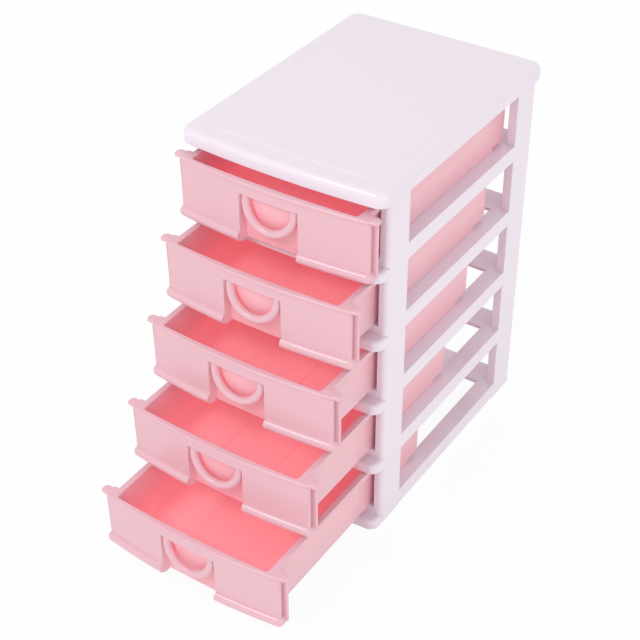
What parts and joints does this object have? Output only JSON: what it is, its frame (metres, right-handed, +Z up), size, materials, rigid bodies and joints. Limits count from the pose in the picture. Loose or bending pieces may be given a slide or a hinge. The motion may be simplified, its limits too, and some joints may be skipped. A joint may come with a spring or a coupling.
{
  "type": "desktop drawer organizer",
  "caption": "Slim desktop tower of stacked open-sided tiers with sliding drawers, bowed drawer fronts with moulded arch handles, and a flat cover.",
  "frame": {"origin": "middle of the four posts on the plane of the feet", "axes": "+Z up, -Y the side that the drawers open to, +X to the right for someone who faces that side from behind the tower"},
  "size_m": [0.131, 0.2759, 0.2373],
  "materials": {
    "frame": "gloss",
    "drawer": "gloss"
  },
  "bodies": {
    "frame": {"tier_1": "frame", "tier_2": "frame", "tier_3": "frame", "tier_4": "frame", "tier_5": "frame", "cover": "frame"},
    "drawer_1": {"drawer_1": "drawer"},
    "drawer_2": {"drawer_2": "drawer"},
    "drawer_3": {"drawer_3": "drawer"},
    "drawer_4": {"drawer_4": "drawer"},
    "drawer_5": {"drawer_5": "drawer"}
  },
  "joints": [
    {"name": "drawer_1_slide", "type": "slide", "parent": "frame", "child": "drawer_1", "axis": [0, -1, 0], "range_m": [-0.0891, 0.0279]},
    {"name": "drawer_2_slide", "type": "slide", "parent": "frame", "child": "drawer_2", "axis": [0, -1, 0], "range_m": [-0.0598, 0.0572]},
    {"name": "drawer_3_slide", "type": "slide", "parent": "frame", "child": "drawer_3", "axis": [0, -1, 0], "range_m": [-0.037, 0.08]},
    {"name": "drawer_4_slide", "type": "slide", "parent": "frame", "child": "drawer_4", "axis": [0, -1, 0], "range_m": [-0.0197, 0.0973]},
    {"name": "drawer_5_slide", "type": "slide", "parent": "frame", "child": "drawer_5", "axis": [0, -1, 0], "range_m": [-0.0026, 0.1144]}
  ]
}
